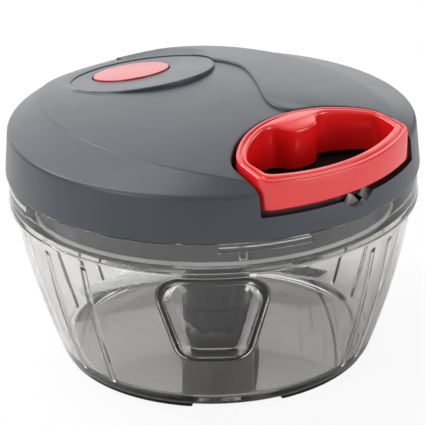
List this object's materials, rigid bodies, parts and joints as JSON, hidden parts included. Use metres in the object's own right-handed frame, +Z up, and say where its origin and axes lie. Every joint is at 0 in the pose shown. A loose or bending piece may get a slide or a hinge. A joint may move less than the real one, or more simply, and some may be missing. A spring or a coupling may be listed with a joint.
{
  "type": "pull-cord food chopper",
  "caption": "Hand food chopper: clear round bowl under a domed twist-on lid, with a red pull handle on a cord, a red vent button and curved blades on a turning stem.",
  "frame": {"origin": "centre of the foot ring on the table", "axes": "+Z up along the blade stem, the handle is drawn towards -Y, the vent button lies on the +Y side"},
  "size_m": [0.13, 0.13, 0.0864],
  "materials": {
    "clear_plastic": "smoke-tinted clear plastic",
    "slate_plastic": "satin slate grey",
    "grey_plastic": "satin grey",
    "red_plastic": "glossy red",
    "ink_plastic": "satin blue-black",
    "white_plastic": "plain white",
    "silicone": "matt translucent white",
    "cord": "braided cord",
    "steel": "ground steel",
    "brass": "plain"
  },
  "bodies": {
    "bowl": {"bowl": "clear_plastic", "pivot_pin": "steel"},
    "lid": {"lid_cover": "slate_plastic", "lid_base": "grey_plastic", "seal_ring": "silicone", "handle_rest": "grey_plastic", "lid_screw_1": "steel", "lid_screw_2": "steel", "lid_screw_3": "steel", "lid_screw_4": "steel", "cord_guide": "steel", "reel_axle": "steel", "axle_washer": "steel", "axle_screw": "steel", "hub_bush": "brass", "cord_lead": "cord"},
    "rotor": {"cord_reel": "white_plastic", "reel_cover": "white_plastic", "recoil_spring": "steel", "drive_hub": "ink_plastic", "cord_winding": "cord", "blade_carrier": "ink_plastic", "stem_sleeve": "brass", "blade_lower": "steel", "blade_middle": "steel", "blade_upper": "steel"},
    "handle": {"pull_handle": "red_plastic", "cord_knot": "cord", "cord_tail": "cord"},
    "vent": {"vent_button": "red_plastic", "vent_stem": "white_plastic", "vent_spring": "steel", "vent_clip": "steel", "vent_valve": "silicone"}
  },
  "joints": [
    {"name": "lid_twist", "type": "hinge", "parent": "bowl", "child": "lid", "pos_m": [0, 0, 0.055], "axis": [0, 0, 1], "range_deg": [0, 22]},
    {"name": "handle_pull", "type": "slide", "parent": "lid", "child": "handle", "axis": [0, -1, 0], "range_m": [0, 0.36], "stiffness_N_per_m": 12, "springref_m": -0.25},
    {"name": "reel_spin", "type": "hinge", "parent": "lid", "child": "rotor", "pos_m": [0, 0, 0.06], "axis": [0, 0, 1], "range_deg": [0, 1010]},
    {"name": "vent_press", "type": "slide", "parent": "lid", "child": "vent", "axis": [0, 0, -1], "range_m": [0, 0.003], "stiffness_N_per_m": 600, "springref_m": -0.002, "deforming": ["vent_spring"]}
  ],
  "couplings": [
    {"joint": "reel_spin", "follows": "handle_pull", "rad_per_m": 48.781}
  ]
}
